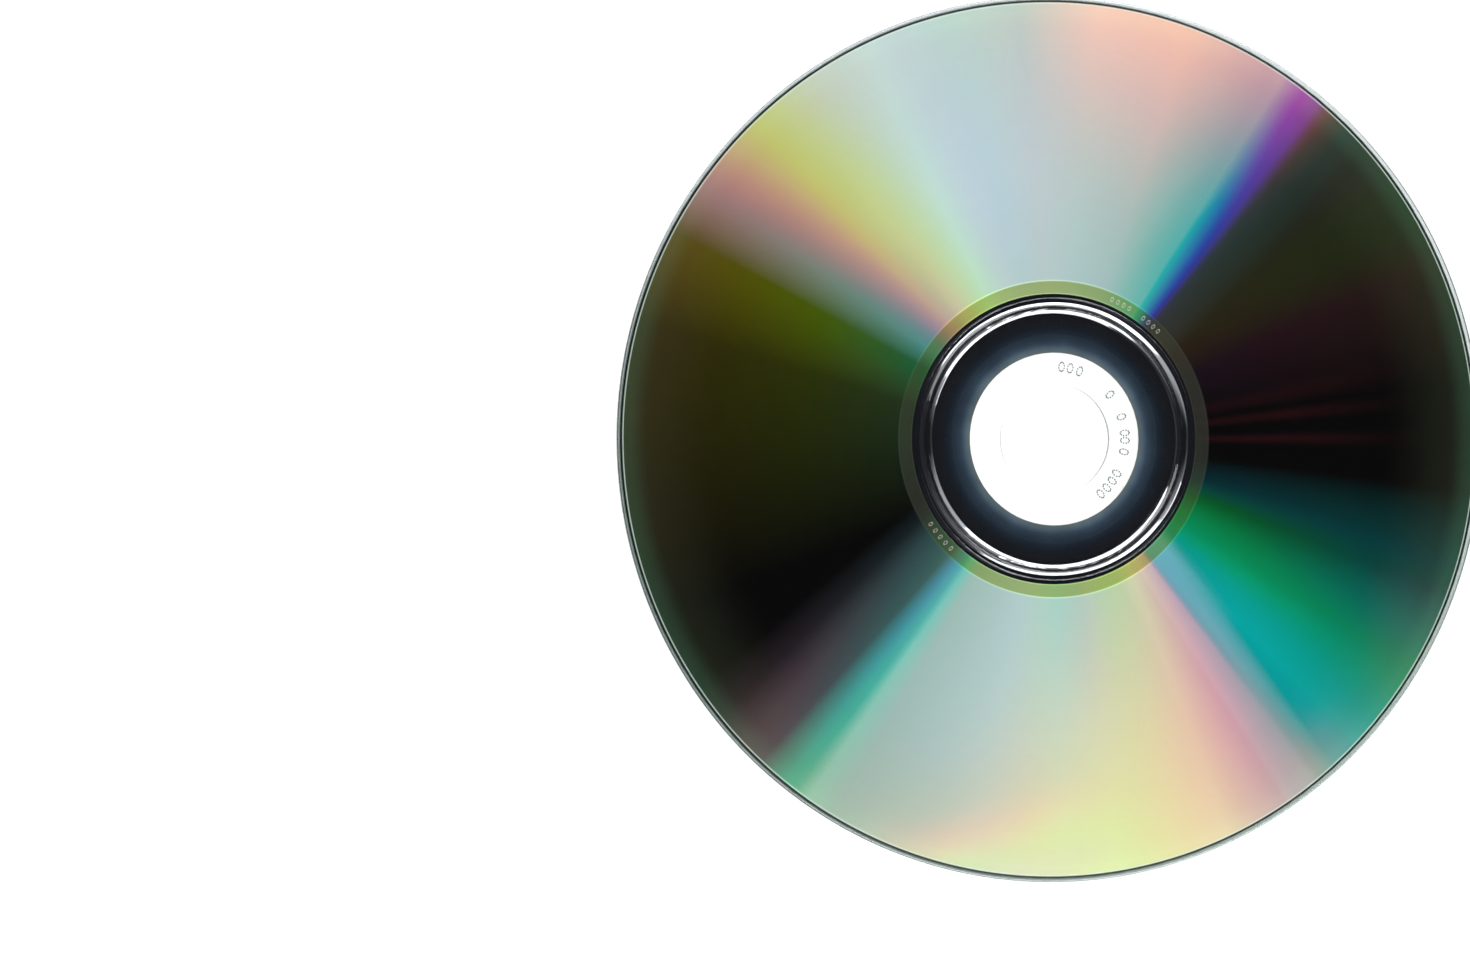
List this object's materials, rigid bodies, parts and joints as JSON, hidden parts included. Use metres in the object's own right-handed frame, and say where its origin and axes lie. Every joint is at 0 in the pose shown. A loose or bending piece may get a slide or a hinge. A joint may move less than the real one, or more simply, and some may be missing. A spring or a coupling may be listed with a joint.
{
  "type": "compact disc",
  "caption": "Recordable compact disc with clear hub, raised stacking ring, rainbow reading side and white printable label side.",
  "frame": {"origin": "middle of the label's face, on the surface that the disc lies on", "axes": "+Z along the disc's axis, up through the clear reading side; +X and +Y lie in the disc's plane"},
  "size_m": [0.12, 0.12, 0.0015],
  "materials": {
    "clear_polycarbonate": "gloss",
    "recording_dye": "gloss",
    "mirror_metal": "polished",
    "white_label": "matte"
  },
  "bodies": {
    "root": {"substrate": "clear_polycarbonate", "dye_layer": "recording_dye", "metal_layer": "mirror_metal", "label_coat": "white_label"}
  },
  "joints": []
}
